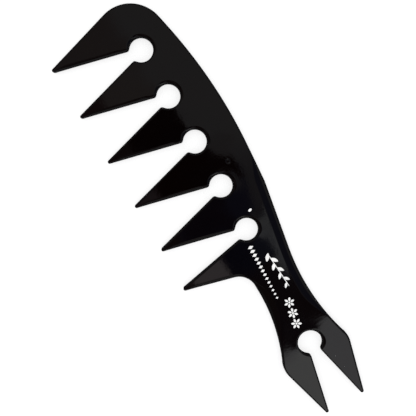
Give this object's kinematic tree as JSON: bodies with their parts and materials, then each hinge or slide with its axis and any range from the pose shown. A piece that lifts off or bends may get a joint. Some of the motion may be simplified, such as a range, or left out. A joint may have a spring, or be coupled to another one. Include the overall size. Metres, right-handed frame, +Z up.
{
  "type": "styling comb",
  "caption": "Flat wide-tooth styling comb with tapered teeth, a keyhole at each tooth root, a waisted handle and a forked tail.",
  "frame": {"origin": "under the middle of the comb's bounding box, on the surface that its back face lies on", "axes": "+X across the comb from the tooth tips to the spine, +Y along it from the fork to the head, +Z up out of the front face"},
  "size_m": [0.0564, 0.2004, 0.0034],
  "materials": {
    "black_plastic": "high-gloss black moulding with faint flow marks",
    "pale_print": "thin pale pad print on the handle"
  },
  "bodies": {
    "root": {"comb": "black_plastic"}
  },
  "joints": []
}
